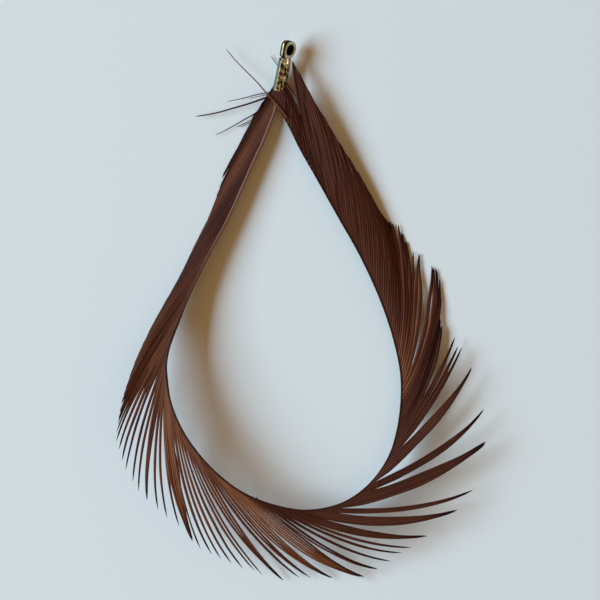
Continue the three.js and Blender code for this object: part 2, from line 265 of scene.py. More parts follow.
LOCKS_ON_SPINE = [
    (5, -20.8, 10.6, 0.3, -3, 7, 0.0, 0.97, 1.25, 0.4),
    (6, -22.9, 6.2, 0.4, -3, 7, 0.0, 0.97, 1.25, -0.1),
    (6, -25.5, 1.3, 0.9, -3, 7, 0.0, 0.97, 1.25, -0.25),
    (6, -27.9, -2.8, 2.2, -3, 7, 0.0, 0.97, 1.25, -0.2),
    (5, -30.0, -6.9, 3.8, -3, 7, 0.0, 0.97, 1.25, 0.15),
    (5, -31.7, -10.9, 5.0, -4, 8, 0.0, 0.97, 1.25, 0.4),
    (4, -33.2, -15.2, 5.9, -4, 9, 0.0, 0.97, 1.25, 0.5),
    (3, -34.3, -20.4, 6.2, -4, 10, 0.2, 0.93, 1.2, 0.4),
    (1, -34.7, -22.9, 6.2, -3, 10, 1.0, 0.78, 1.2, 0.6),
    (1, -34.7, -24.6, 6.2, -3, 10, 1.0, 0.72, 1.2, 0.6),
    (1, -34.2, -26.1, 6.2, -3, 11, 1.0, 0.65, 1.2, 0.6),
    (1, -33.7, -28.2, 6.1, -4, 11, 1.0, 0.58, 1.2, 0.5),
    (1, -32.9, -29.9, 6.0, -4, 12, 1.0, 0.5, 1.2, 0.5),
    (1, -31.6, -32.1, 5.8, -4, 12, 1.0, 0.42, 1.2, 0.5),
    (1, -30.6, -33.9, 5.6, -4, 12, 1.0, 0.32, 1.2, 0.6),
    (2, -28.9, -35.6, 5.3, -4, 12, 1.0, 0.2, 1.2, 0.8),
    (1, -26.9, -37.4, 5.0, -5, 13, 1.0, 0.3, 1.2, 0.9),
    (1, -25.2, -38.9, 4.7, -6, 14, 1.0, 0.3, 1.2, 0.9),
    (1, -23.0, -40.5, 4.3, -7, 14, 1.0, 0.3, 1.1, 0.7),
    (6, -20.4, -43.5, 3.8, -9, 13, 0.95, 0.34, 1.15, 1.05),
    (1, -19.0, -44.7, 3.3, -10, 14, 1.0, 0.3, 0.95, 0.85),
    (1, -16.9, -45.8, 3.0, -11, 15, 1.0, 0.25, 0.8, 0.75),
    (1, -15.2, -46.7, 2.7, -11, 15, 1.0, 0.25, 0.75, 0.75),
    (1, -13.2, -47.5, 2.4, -12, 15, 1.0, 0.25, 0.62, 0.85),
    (1, -11.0, -48.5, 2.1, -12, 15, 1.0, 0.25, 0.6, 0.75),
    (1, -8.9, -48.8, 1.8, -12, 15, 1.0, 0.25, 0.6, 0.75),
    (1, -7.3, -49.7, 1.5, -12, 15, 1.0, 0.25, 0.6, 0.75),
    (3, -3.4, -50.8, 0.8, -11, 15, 1.0, 0.25, 0.88, 0.95),
    (1, -0.4, -50.3, 0.8, -10, 15, 1.0, 0.25, 0.74, 0.65),
    (2, 1.8, -50.3, 0.8, -9, 16, 1.0, 0.3, 0.76, 0.65),
    (4, 5.8, -50.4, 0.8, -8, 18, 0.95, 0.3, 0.88, 1.2),
    (6, 11.8, -50.1, 1.3, -6, 20, 0.95, 0.32, 0.9, 1.4),
    (2, 14.3, -48.6, 2.0, -7, 19, 1.0, 0.25, 0.8, 0.2),
    (1, 16.7, -47.0, 2.7, -8, 18, 1.0, 0.25, 1.1, 0.2),
    (1, 18.7, -45.5, 3.1, -9, 18, 1.0, 0.25, 1.1, 0.3),
    (1, 20.5, -44.4, 3.3, -10, 18, 1.0, 0.25, 1.1, 0.3),
    (3, 23.4, -42.3, 3.5, -12, 18, 0.95, 0.25, 1.1, 0.3),
    (4, 29.3, -37.4, 3.7, -16, 18, 0.95, 0.15, 1.08, 0.4),
    (2, 32.1, -33.7, 3.7, -11, 18, 1.0, 0.12, 1.1, 0.3),
    (5, 34.6, -24.6, 3.6, -11, 14, 0.95, 0.08, 1.08, 0.3),
    (3, 34.1, -18.5, 3.1, -9, 19, 1.0, 0.1, 1.08, 0.2),
    (4, 31.9, -10.6, 2.7, -5, 14, 1.0, 0.14, 1.08, 0.5),
    (2, 30.0, -6.9, 2.1, -6, 10, 1.0, 0.14, 1.1, 0.2),
    (2, 29.3, -6.8, 1.9, -6, 9, 1.0, 0.14, 1.1, 0.2),
    (2, 28.7, -5.0, 1.6, -6, 9, 1.0, 0.2, 1.1, 0.2),
    (2, 25.5, -2.3, 0.7, -17, 21, 0.0, 0.95, 1.2, -0.1),
    (2, 26.2, 1.4, 0.4, -17, 18, 0.0, 0.95, 1.2, -0.1),
    (2, 26.0, 5.5, 0.25, -17, 17, 0.2, 0.93, 1.2, 0.0),
    (2, 25.2, 7.9, 0.2, -19, 19, 0.6, 0.93, 1.15, 0.2),
    (2, 24.6, 8.1, 0.2, -18, 20, 0.5, 0.88, 1.15, 0.6),
    (2, 22.1, 10.7, 0.2, -13, 1, 1.0, 0.89, 1.15, 0.5),
    (1, 20.9, 11.1, 0.2, -13, 4, 0.9, 0.88, 1.0, 0.8),
    (2, 18.9, 13.9, 0.2, -12, 14, 0.0, 0.97, 1.25, 0.3),
    (1, 18.1, 16.1, 0.25, -13, 6, 0.0, 0.9, 1.2, 0.5),
    (2, 16.5, 16.3, 0.3, -13, 12, 0.0, 0.97, 1.25, 0.3),
    (3, 14.9, 18.1, 0.5, -13, 20, 0.0, 0.97, 1.25, 0.4),
    (3, 13.1, 21.1, 0.9, -13, 22, 0.0, 0.97, 1.25, 0.4),
    (4, 11.1, 24.8, 1.2, -12, 22, 0.0, 0.97, 1.25, 0.4),
    (4, 8.8, 28.4, 1.5, -11, 22, 0.0, 0.97, 1.25, 0.4),
    (4, 6.5, 32.1, 1.9, -10, 20, 0.0, 0.97, 1.25, 0.35),
    (4, 4.0, 36.2, 2.3, -8, 18, 0.0, 0.97, 1.25, 0.3),
    (4, 1.7, 40.2, 2.6, -6, 14, 0.0, 0.97, 1.25, 0.2),
    (5, 0.0, 43.6, 2.6, -2, 6, 0.0, 0.97, 1.25, 0.1),
    (4, -1.8, 46.8, 2.5, 5, -5, 0.15, 0.95, 1.25, 0.0),
]
BARBS_INTO_CRIMP = 18

chance = np.random.default_rng(23)
barb_rows = []
for row_number, row in enumerate(LOCKS_FROM_CRIMP + LOCKS_ON_SPINE):
    for k in range(row[0]):
        barb_rows.append((row_number, k - (row[0] - 1) / 2))
first_on_spine = sum(row[0] for row in LOCKS_FROM_CRIMP)
locks = np.array(LOCKS_FROM_CRIMP + LOCKS_ON_SPINE, float)
lock_middle = np.cumsum(locks[:, 0]) - locks[:, 0] / 2 - 0.5
order = np.arange(len(barb_rows))


def across_locks(column):
    """A column of the lock rows, spread smoothly over all barbs."""
    return np.interp(order, lock_middle, locks[:, column])


in_lock = np.array([row for row, _ in barb_rows])
beside = np.array([k for _, k in barb_rows])
free_tip = np.stack([across_locks(1), across_locks(2), across_locks(3)], -1)
root_turn, tip_turn = across_locks(4), across_locks(5)


def root_of(index):
    """Where a barb leaves the spine; the first ones leave it side by side at the crimp's mouth."""
    s = (np.asarray(index, float) - first_on_spine + 0.5) * BARB_SPACING
    held = np.clip(-s, 0, None)
    s = np.where(s < 0, -HELD_REACH * np.tanh(held / HELD_REACH), s)
    at, _, outward = edge_at(s)
    aside = spine_width(s) * 0.5 + HELD_SPREAD * held
    return at + outward * aside[..., None] - np.array([0, 0, 1]) * (held * HELD_DROP)[..., None]


def bent(root, tip, root_turn, tip_turn):
    """A barb's line from root to tip, turned at both ends by degrees in plan."""
    t = np.linspace(0, 1, BARB_STATIONS)[:, None]
    chord = tip - root

    def turned(degrees):
        c, s = math.cos(math.radians(degrees)), math.sin(math.radians(degrees))
        return np.array([chord[0] * c - chord[1] * s, chord[0] * s + chord[1] * c]) * HANDLE

    first = root + np.array([*turned(root_turn), chord[2] * 0.12])
    last = tip - np.array([*turned(tip_turn), chord[2] * 0.2])
    return (1 - t)**3 * root + 3 * t * (1 - t)**2 * first + 3 * t**2 * (1 - t) * last + t**3 * tip


def eased(value, low, high):
    """0 below low, 1 above high, and a smooth rise between them."""
    x = np.clip((value - low) / (high - low), 0, 1)
    return x * x * (3 - 2 * x)


t = np.linspace(0, 1, BARB_STATIONS)
roots = root_of(order)
barbs = np.array([bent(roots[i], free_tip[i], root_turn[i], tip_turn[i]) for i in order])

# the tips of a lock are drawn together
drawn = barbs.copy()
for row_number in range(len(locks)):
    members = order[in_lock == row_number]
    gather = locks[row_number, 6]
    if len(members) < 2 or gather == 0:
        continue
    middle_root = root_of(np.array([lock_middle[row_number]]))[0]
    middle = bent(middle_root, locks[row_number, 1:4], locks[row_number, 4], locks[row_number, 5])
    tangent = unit(np.gradient(middle, axis=0))
    side = unit(np.stack([-tangent[:, 1], tangent[:, 0], 0 * t], -1))
    loose = locks[row_number, 7]
    pull = (gather * eased(t, loose - 0.2, min(loose + 0.3, 0.97)))[:, None]
    spacing = DRAWN_SPACING - DRAWN_CLOSER * eased(t, 0.5, 1.02)
    for i in members:
        close = (middle + side * (beside[i] * spacing)[:, None]
                 - tangent * (abs(beside[i]) * 0.25 * t)[:, None])
        drawn[i] = barbs[i] * (1 - pull) + close * pull
barbs = drawn

# those near the feather's tip go into the crimp with the spine, from right to left and ever deeper
caught = []
last = len(order) - first_on_spine
for n in range(BARBS_INTO_CRIMP):
    s = np.array([(last + n + 0.5) * BARB_SPACING])
    q = n / (BARBS_INTO_CRIMP - 1)
    at, _, outward = edge_at(s)
    end = in_crimp(0.78 - 1.35 * q, 1.2 + 0.5 * q, 0.45 - 0.12 * q)
    caught.append(bent(at[0] + outward[0] * spine_width(s) * 0.6, end, -16 + 14 * q, 14 + 26 * q))
barbs = np.concatenate([barbs, np.array(caught)])
count = len(barbs)
split = np.concatenate([across_locks(7), np.full(len(caught), 1.1)])
fill = np.concatenate([across_locks(8), np.full(len(caught), 1.25)])
warmth = np.concatenate([across_locks(9), np.full(len(caught), 0.1)])
lock_of = np.concatenate([in_lock, np.full(len(caught), len(locks))])
locks_gather = np.append(locks[:, 6], 0)[lock_of]
split[-len(caught) - 3:-len(caught)] = 0.9  # the last three that stay out of the crimp

# by the barb's number: its ridge's height, its share of the tips' darkening, its root's warmth
number = np.arange(count)
ridge_height = np.interp(number, [0, 68, 80, 120, 141, 165, 180, count],
                         [0.3, 0.3, 0.5, 0.5, 0.65, 0.6, 0.3, 0.25])
tip_shade = np.interp(number, [0, 58, 68, 150, 160, count], [0.81, 0.81, 1, 1, 0.84, 0.86])
root_warmth = np.interp(number, [0, 136, 141, 158, 165, count], [0, 0, 0.3, 0.25, 0.1, 0])

# each barb wavers a little
for i in range(count):
    waver = np.interp(t, np.linspace(0, 1, 7), chance.normal(0, SIDE_WAVER, 7)) * t
    lift = np.interp(t, np.linspace(0, 1, 6), chance.normal(0, LIFT_WAVER, 6)) * t
    tangent = unit(np.gradient(barbs[i], axis=0))
    barbs[i] += np.stack([-tangent[:, 1] * waver, tangent[:, 0] * waver, lift], -1)
barbs[..., 2] = np.maximum(barbs[..., 2], LOWEST_BARB)

tangents = unit(np.gradient(barbs, axis=1))
ahead = np.concatenate([barbs[1:], barbs[-1:] * 2 - barbs[-2:-1]])
behind = np.concatenate([barbs[:1] * 2 - barbs[1:2], barbs[:-1]])


def beside_distance(other):
    """How far a neighbour lies beside each barb, square to it."""
    gap = other - barbs
    gap = gap - tangents * np.sum(gap * tangents, -1, keepdims=True)
    return np.linalg.norm(gap, axis=-1)


gap_ahead, gap_behind = beside_distance(ahead), beside_distance(behind)
sheet = unit(np.cross(ahead - behind, tangents))
sheet[sheet[..., 2] < 0] *= -1
sheet = unit(sheet * 0.7 + np.array([0, 0, 0.5]))
acrosses = unit(np.cross(tangents, sheet))
toward = np.sign(np.sum(acrosses * (ahead - behind), -1, keepdims=True).mean(axis=1, keepdims=True))
acrosses = acrosses * toward
ups = unit(np.cross(acrosses, tangents))
ups[ups[..., 2] < 0] *= -1

# (share of the flange, height): outer edge, flange, ridge, ridge, flange, inner edge, and below
BARB_RING = np.array([(1.0, 0.012), (0.5, 0.034), (0.14, 0.08), (-0.14, 0.08), (-0.5, 0.024),
                      (-1.0, -0.016), (-0.5, -0.012), (0.0, -0.08), (0.5, 0.004)])
teeth = 1 + 0.015 * np.where(np.arange(BARB_STATIONS) % 2 == 0, 1.0, -1.0)


def end_taper(t, share):
    """How a barb narrows to a fine point over the last share of its length."""
    narrowed = 0.5 + 0.5 * np.clip((1 - t) / share, 0, 1)
    return narrowed * (np.clip((1 - t) / (share * 0.2), 0, 1)**0.7 * 0.93 + 0.07)


def barb_skin(i):
    """The skin of barb i, with its place along, across and its own tone."""
    breadth = chance.uniform(0.92, 1.06)
    taper = end_taper(t, 0.3 if split[i] < 0.9 else 0.12) * (0.6 + 0.4 * eased(t, 0, 0.012))
    pointed = np.clip((1 - t) / 0.03, 0, 1)**0.7 * 0.9 + 0.1
    sides = []
    for other, gap in ((min(i + 1, count - 1), gap_ahead[i]), (max(i - 1, 0), gap_behind[i])):
        mates = lock_of[i] == lock_of[other]
        opens = 1.1 if mates else min(split[i], split[other])
        loose = eased(t, opens - 0.3, opens + 0.12)
        most = ZIPPED_REACH + (LOOSE_REACH - ZIPPED_REACH) * loose
        least = 0.05 + 0.03 * eased(t, 0.3, 0.6)
        cover = fill[i] + (max(fill[i], 1.15) - fill[i]) * (1 - eased(t, 0.05, 0.3))
        if mates and locks_gather[i] > 0.5:
            cover = cover + np.maximum(1.2 - cover, 0) * eased(t, 0.55, 0.75)
        narrowing = pointed if mates else taper
        sides.append(np.clip(gap * 0.5 * cover, least, most) * narrowing * teeth * breadth)
    on_outer, on_inner = sides
    loose = eased(t, split[i] - 0.1, split[i] + 0.06)
    reach = np.where(BARB_RING[None, :, 0] > 0, on_outer[:, None], on_inner[:, None])
    thick = (0.35 + 0.65 * taper) * (ridge_height[i] + 0.25 * loose) * chance.uniform(0.9, 1.1)
    section = np.stack([BARB_RING[None, :, 0] * reach, BARB_RING[None, :, 1] * thick[:, None]], -1)
    points, faces = swept(barbs[i], acrosses[i], ups[i], section)
    ring = len(BARB_RING)
    floats = {
        "along": np.repeat(t, ring) * tip_shade[i],
        "across": np.tile(BARB_RING[:, 0], BARB_STATIONS),
        "tone": np.full(ring * BARB_STATIONS, chance.uniform(0, 1)),
        "warmth": np.repeat(warmth[i] + root_warmth[i] * (1 - eased(t, 0.02, 0.35)), ring),
    }
    return points, faces, floats


def joined(name, skins, material):
    """One mesh of many barb skins."""
    points, faces, floats, start = [], [], {}, 0
    for skin_points, skin_faces, skin_floats in skins:
        points.append(skin_points)
        faces += [tuple(v + start for v in face) for face in skin_faces]
        for key, values in skin_floats.items():
            floats.setdefault(key, []).append(values)
        start += len(skin_points)
    return mesh_piece(name, np.concatenate(points), faces,
                      {key: np.concatenate(values) for key, values in floats.items()}, material)


vane = bpy.data.materials.new("barb_brown")
tree, shader, add, join = nodes_of(vane)
shader.inputs["Roughness"].default_value = 0.7
shader.inputs["Specular IOR Level"].default_value = 0.06
along = add("ShaderNodeAttribute", attribute_name="along")
across = add("ShaderNodeAttribute", attribute_name="across")
tone = add("ShaderNodeAttribute", attribute_name="tone")
warm = add("ShaderNodeAttribute", attribute_name="warmth")
strand = add("ShaderNodeCombineXYZ")
lengthwise = add("ShaderNodeMath", operation="MULTIPLY")
lengthwise.inputs[1].default_value = 5.0
join(along, "Fac", lengthwise, 0)
join(lengthwise, "Value", strand, "X")
sidewise = add("ShaderNodeMath", operation="MULTIPLY")
sidewise.inputs[1].default_value = 1.2
join(across, "Fac", sidewise, 0)
join(sidewise, "Value", strand, "Y")
own = add("ShaderNodeMath", operation="MULTIPLY")
own.inputs[1].default_value = 37.0
join(tone, "Fac", own, 0)
join(own, "Value", strand, "Z")
streaks = add("ShaderNodeTexNoise", Scale=1.6, Detail=5.0, Roughness=0.65)
join(strand, "Vector", streaks, "Vector")
patches_place = add("ShaderNodeTexCoord")
patches = add("ShaderNodeTexNoise", Scale=140.0, Detail=3.0, Roughness=0.5)
join(patches_place, "Object", patches, "Vector")


def blend_values(*parts):
    """Adds value * weight pairs and returns the last node."""
    total = None
    for node, socket, weight in parts:
        scaled = add("ShaderNodeMath", operation="MULTIPLY")
        scaled.inputs[1].default_value = weight
        join(node, socket, scaled, 0)
        if total is None:
            total = scaled
        else:
            added = add("ShaderNodeMath", operation="ADD")
            join(total, "Value", added, 0)
            join(scaled, "Value", added, 1)
            total = added
    return total


slant = add("ShaderNodeMath", operation="ABSOLUTE")
join(across, "Fac", slant, 0)
# the slant term paints the flange edges lighter, standing in for light shining through the thin flanges
mixed = blend_values((streaks, "Fac", 0.36), (slant, "Value", 0.24), (tone, "Fac", 0.13),
                     (patches, "Fac", 0.24), (warm, "Fac", 0.36))
browns = add("ShaderNodeValToRGB")
colour_steps(browns, [(0.25, (0.024, 0.0072, 0.0050)), (0.48, (0.058, 0.0180, 0.0112)),
                      (0.72, (0.102, 0.0340, 0.0180)), (1.0, (0.26, 0.094, 0.038))])
join(mixed, "Value", browns, "Fac")
tip_dark = add("ShaderNodeValToRGB")
colour_steps(tip_dark, [(0.76, (1.0, 1.0, 1.0)), (0.97, (0.17, 0.18, 0.21))])
join(along, "Fac", tip_dark, "Fac")
coloured = add("ShaderNodeMix", data_type="RGBA", blend_type="MULTIPLY")
coloured.inputs["Factor"].default_value = 1.0
tree.links.new(browns.outputs["Color"], coloured.inputs[6])
tree.links.new(tip_dark.outputs["Color"], coloured.inputs[7])
tree.links.new(coloured.outputs[2], shader.inputs["Base Color"])
hooks_place = add("ShaderNodeCombineXYZ")
hooks_run = blend_values((along, "Fac", 28.0), (slant, "Value", 0.2))
join(hooks_run, "Value", hooks_place, "X")
hooks = add("ShaderNodeTexWave", Scale=1.3, Distortion=1.0, Detail=2.0)
join(hooks_place, "Vector", hooks, "Vector")
relief = add("ShaderNodeBump", Strength=0.3, Distance=0.00004)
join(hooks, "Fac", relief, "Height")
join(relief, "Normal", shader, "Normal")

BARB_PIECES = [("left_vane", 0, 68), ("lower_left_fan", 68, 96), ("lower_fan", 96, 124),
               ("right_fan", 124, 141), ("right_lock", 141, 151), ("right_vane", 151, count)]
for name, start, stop in BARB_PIECES:
    piece = joined(name, [barb_skin(i) for i in range(start, stop)], vane)
    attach(piece, "root")
    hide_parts("feather")

# ---------------------------------------------------------------- stray barbs
# Single barbs that came loose from the strip when it was cut and crimped: a few stick out to the
# left of the crimp's mouth, one lies under the crimp, and short stumps are left on the strip.

# each: width at its root, width at its tip, warmth, then points from root to tip (x, y, z) in mm
STRAY_BARBS = [
    (0.26, 0.13, 1.0, [(-2.8, 36.0, 2.75), (-4.6, 38.4, 2.5), (-6.6, 40.6, 2.0), (-8.5, 42.8, 1.8),
                       (-10.7, 45.0, 1.6), (-12.8, 47.2, 1.4), (-14.3, 49.0, 1.2)]),
    (0.2, 0.1, 0.0, [(-5.2, 40.9, 1.4), (-6.9, 40.7, 1.4), (-8.5, 40.4, 1.3), (-10.7, 39.8, 1.2),
                     (-14.1, 39.1, 1.0)]),
    (0.16, 0.08, 0.0, [(-5.4, 40.6, 1.3), (-7.1, 40.3, 1.3), (-9.9, 39.7, 1.1)]),
    (0.34, 0.18, 0.1, [(-5.0, 40.4, 1.4), (-6.6, 39.9, 1.4), (-10.0, 38.7, 1.2), (-12.8, 37.9, 1.1),
                       (-16.0, 37.0, 0.9), (-20.0, 36.3, 0.7)]),
    (0.24, 0.11, 0.1, [(-7.6, 37.8, 0.8), (-8.5, 37.1, 0.8), (-11.1, 35.6, 0.7), (-13.7, 34.1, 0.6),
                       (-16.3, 32.8, 0.5)]),
    (0.18, 0.09, 0.0, [(-8.0, 36.5, 0.7), (-9.4, 35.7, 0.7), (-12.3, 34.3, 0.6)]),
    (0.16, 0.09, 0.0, [(-8.2, 36.0, 0.6), (-9.3, 35.4, 0.6), (-11.6, 34.3, 0.5)]),
    (0.24, 0.12, 0.6, [(0.1, 34.4, 2.6), (-0.5, 37.8, 2.3), (-1.0, 39.6, 2.0), (-1.8, 41.0, 1.2),
                       (-2.8, 42.5, 0.5), (-4.0, 44.9, 0.25), (-4.9, 46.4, 0.25), (-5.9, 47.8, 0.25)]),
    (0.36, 0.2, 0.0, [(-8.3, -35.6, 6.6), (-8.4, -35.2, 6.75), (-8.45, -34.85, 6.85)]),
    (0.14, 0.08, 1.0, [(14.0, -33.6, 4.1), (14.1, -32.6, 4.2), (14.05, -31.9, 4.2)]),
]
STRAY_FULLNESS = 1.15  # of the widths above


def lone_barb(width, tip_width, own_warmth, line):
    """The skin of one barb that stands free, narrowing from its root to its tip."""
    path, length = smooth_line(line, 0.25)
    t = length / length[-1]
    tangent = unit(np.gradient(path, axis=0))
    across = unit(np.cross(tangent, [0, 0, 1]))
    up = np.cross(across, tangent)
    pointed = np.clip((1 - t) / 0.05, 0, 1)**0.6 * 0.9 + 0.1
    breadth = STRAY_FULLNESS * (width + (tip_width - width) * t) * pointed / 2
    section = np.stack([BARB_RING[None, :, 0] * breadth[:, None],
                        BARB_RING[None, :, 1] * (0.5 + breadth[:, None] * 2)], -1)
    points, faces = swept(path, across, up, section)
    ring = len(BARB_RING)
    return points, faces, {"along": np.repeat(t * 0.9, ring), "across": np.tile(BARB_RING[:, 0], len(path)),
                           "tone": np.full(len(points), chance.uniform(0, 1)),
                           "warmth": np.full(len(points), own_warmth)}


stray_barbs = joined("stray_barbs", [lone_barb(*row) for row in STRAY_BARBS], vane)
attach(stray_barbs, "root")
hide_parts("feather")

# ---------------------------------------------------------------- crimp end
# A fold-over crimp end of antique brass, bent from sheet: a channel pinched over both feather
# ends, a neck, and a turned eye for the ring.

CRIMP_LENGTH = 6.05
CRIMP_WIDTH = 2.22
CRIMP_HEIGHT = 1.9
CRIMP_CORNER = 0.5
CRIMP_NARROWING = 0.04  # of the width, from the mouth to the eye
BODY_STATIONS = 110
CORNER_POINTS = 8
UNDERSIDE_POINTS = 12
SMALL_DENTS = 70
NECK_STATIONS = 16
EYE_TURN = math.radians(53) - CRIMP_ROLL
EYE_CENTRE = np.array([0.15, 7.98, 0.0])
EYE_HEIGHT = 3.5
EYE_HALF_WIDTH = 1.7
EYE_HOLE = 1.05
EYE_LENGTH = 1.25
EYE_STEPS = 96  # round the hole

# the seam between the two folded flaps: along, across, half its width (mm)
SEAM = [(0.0, 0.1, 0.04), (0.6, 0.12, 0.05), (1.0, 0.15, 0.17), (1.4, 0.05, 0.08), (1.82, -0.03, 0.17),
        (2.4, 0.2, 0.05), (3.0, 0.33, 0.05), (3.45, 0.4, 0.17), (3.8, 0.35, 0.07), (4.2, 0.27, 0.19),
        (4.7, 0.22, 0.05), (5.9, 0.2, 0.04)]
# dents the pliers left in the flaps: across, along, radius, depth (mm)
PLIER_DENTS = [
    (-0.5, 4.9, 0.4, 0.1), (-0.62, 3.4, 0.38, 0.13), (-0.45, 2.4, 0.3, 0.1), (-0.6, 1.4, 0.36, 0.12),
    (-0.4, 0.5, 0.3, 0.09), (0.7, 2.5, 0.3, 0.12), (0.62, 1.5, 0.32, 0.1), (0.66, 0.5, 0.3, 0.1),
    (0.75, 4.0, 0.26, 0.1), (0.62, 5.1, 0.34, 0.07), (-0.15, 3.3, 0.2, 0.09), (-0.25, 4.3, 0.2, 0.08),
]
# where the dark antique finish lies thick (along the right edge: painted shade), and below zero where it is
# rubbed
# bright and partly painted glints: across, along, radius (mm), amount
FINISH_SHADE_AND_GLINT_SPOTS = [
    (-0.88, 5.2, 0.3, 0.5), (-0.55, 4.7, 0.45, 0.5), (-0.5, 3.4, 0.4, 0.4), (-0.85, 2.6, 0.35, 0.45),
    (-0.6, 1.7, 0.3, 0.35), (-0.8, 0.7, 0.3, 0.4), (0.95, 4.4, 0.4, 0.6), (0.95, 3.0, 0.4, 0.6),
    (0.9, 1.6, 0.45, 0.6), (0.8, 0.5, 0.4, 0.5), (-0.05, 3.9, 0.22, -0.6), (0.43, 2.54, 0.25, -0.6),
    (-0.2, 0.85, 0.26, -0.6), (0.04, 5.4, 0.4, -0.6), (-0.35, 2.6, 0.2, -0.4), (-0.1, 1.4, 0.2, -0.3),
]

brass = bpy.data.materials.new("antique_brass")
tree, shader, add, join = nodes_of(brass)
shader.inputs["Metallic"].default_value = 1.0
place = add("ShaderNodeTexCoord")
blotches = add("ShaderNodeTexNoise", Scale=900.0, Detail=5.0, Roughness=0.6)
join(place, "Object", blotches, "Vector")
# patina in the dents and the seam, plus painted shade on the right edge, in the eye's hole and on its left
# wall
patina_and_shade = add("ShaderNodeAttribute", attribute_name="patina_and_shade")
worn_and_reflection = add("ShaderNodeAttribute", attribute_name="worn_and_reflection")
dark = blend_values((patina_and_shade, "Fac", 0.9), (blotches, "Fac", 0.5))
brass_tones = add("ShaderNodeValToRGB")
colour_steps(brass_tones, [(0.14, (0.66, 0.60, 0.38)), (0.34, (0.34, 0.29, 0.14)),
                           (0.6, (0.10, 0.074, 0.034)), (1.0, (0.012, 0.008, 0.006))])
join(dark, "Value", brass_tones, "Fac")
# pale brass where it is rubbed on the body, and on the eye a painted reflection of a bright room
rubbed_and_reflection = add("ShaderNodeMix", data_type="RGBA", blend_type="MIX")
join(worn_and_reflection, "Fac", rubbed_and_reflection, 0)
tree.links.new(brass_tones.outputs["Color"], rubbed_and_reflection.inputs[6])
rubbed_and_reflection.inputs[7].default_value = (0.62, 0.58, 0.45, 1)
dull = add("ShaderNodeAttribute", attribute_name="dull")
dull_tones = add("ShaderNodeValToRGB")
colour_steps(dull_tones, [(0.0, (1.0, 1.0, 1.0)), (1.0, (0.24, 0.26, 0.24))])
join(dull, "Fac", dull_tones, "Fac")
dulled = add("ShaderNodeMix", data_type="RGBA", blend_type="MULTIPLY")
dulled.inputs["Factor"].default_value = 1.0
tree.links.new(rubbed_and_reflection.outputs[2], dulled.inputs[6])
tree.links.new(dull_tones.outputs["Color"], dulled.inputs[7])
tree.links.new(dulled.outputs[2], shader.inputs["Base Color"])
dullness = add("ShaderNodeMapRange")
dullness.inputs["To Min"].default_value = 0.24
dullness.inputs["To Max"].default_value = 0.6
join(blend_values((dark, "Value", 0.8), (dull, "Fac", 0.8)), "Value", dullness, "Value")
join(dullness, "Result", shader, "Roughness")
scratches = add("ShaderNodeBump", Strength=0.4, Distance=0.00006)
join(blotches, "Fac", scratches, "Height")
join(scratches, "Normal", shader, "Normal")


def placed(points):
    """Points given in the crimp's own directions, moved into the drawing."""
    return np.array([in_crimp(*point) for point in points])


def rounded_box(half_width, half_height, corner, top_points, side_points):
    """Points and outward normals round a rounded oblong, starting at its upper left."""
    outline, normals = [], []
    straight = np.array([half_width - corner, half_height - corner])
    # each corner's side, the angle that it starts at, then the way and the points to the next one
    corners = [((-1, 1), math.pi, (1, 0), top_points), ((1, 1), math.pi / 2, (0, -1), side_points),
               ((1, -1), 0, (-1, 0), UNDERSIDE_POINTS), ((-1, -1), -math.pi / 2, (0, 1), side_points)]
    for side, start, way, run in corners:
        centre = np.array(side) * straight
        for a in np.linspace(start, start - math.pi / 2, CORNER_POINTS):
            normals.append((math.cos(a), math.sin(a)))
            outline.append(centre + corner * np.array(normals[-1]))
        for share in np.linspace(0, 1, run + 2)[1:-1]:
            normals.append(normals[-1])
            outline.append(centre + corner * np.array(normals[-1]) + 2 * share * straight * np.array(way))
    return np.array(outline), np.array(normals)


def turned_round(x, z, turn):
    """x and z turned about the crimp's length."""
    return x * math.cos(turn) + z * math.sin(turn), z * math.cos(turn) - x * math.sin(turn)


outline, normals = rounded_box(CRIMP_WIDTH / 2, CRIMP_HEIGHT / 2, CRIMP_CORNER, 40, 8)
ring = len(outline)
chance = np.random.default_rng(5)
small_dents = [(chance.uniform(-1, 1), chance.uniform(0, 5.9), chance.uniform(0.12, 0.22),
                chance.uniform(-0.05, 0.09)) for _ in range(SMALL_DENTS)]
along_body = np.linspace(0, CRIMP_LENGTH, BODY_STATIONS)
body_points, body_patina_and_shade, body_worn, body_dull = [], [], [], []
seam = np.array(SEAM)
for y in along_body:
    narrowed = 1 - CRIMP_NARROWING * y / CRIMP_LENGTH
    x, z = outline[:, 0] * narrowed, outline[:, 1] * narrowed
    front = eased(outline[:, 1], 0.2, 0.7)
    sunk = np.zeros(ring)
    for dx, dy, radius, depth in PLIER_DENTS + small_dents:
        sunk += depth * np.exp(-((x - dx)**2 + (y - dy)**2) / (radius * 0.6)**2)
    from_seam = np.abs(x - np.interp(y, seam[:, 0], seam[:, 1])) / np.interp(y, seam[:, 0], seam[:, 2])
    cleft = np.clip(1.25 - from_seam, 0, 1)
    rolled_in = 0.1 * np.exp(-(from_seam / 2.6)**2)
    sunk = (sunk + 0.4 * eased(cleft, 0, 0.7) + rolled_in) * front
    pointed = eased(np.full(ring, y), 5.0, 5.9) * (0.5 - 0.75 * np.abs(x - 0.1)) * front
    body_points.append(np.stack([x - normals[:, 0] * sunk, y + pointed, z - normals[:, 1] * sunk], -1))
    # dark antique finish, painted shade on the right edge, and painted glints where the amount is below zero
    finish_shade_and_glints = np.zeros(ring)
    for dx, dy, radius, amount in FINISH_SHADE_AND_GLINT_SPOTS:
        finish_shade_and_glints += amount * np.exp(-((x - dx)**2 + (y - dy)**2) / radius**2) * front
    # the dents and the seam darken as patina; the rise towards the right edge is painted shade
    body_patina_and_shade.append(np.clip(sunk * 2.6, 0, 1) + 0.15 * eased(x, 0.75, 1.07) + finish_shade_and_glints)
    flap = np.exp(-((x - 0.45) / 0.4)**2) * eased(np.full(ring, y), 4.2, 4.8) * front * 0.6
    body_worn.append(eased(-x, 0.8, 1.0) * 0.85 + flap)
    body_dull.append(eased(-x, 0.78, 0.95))
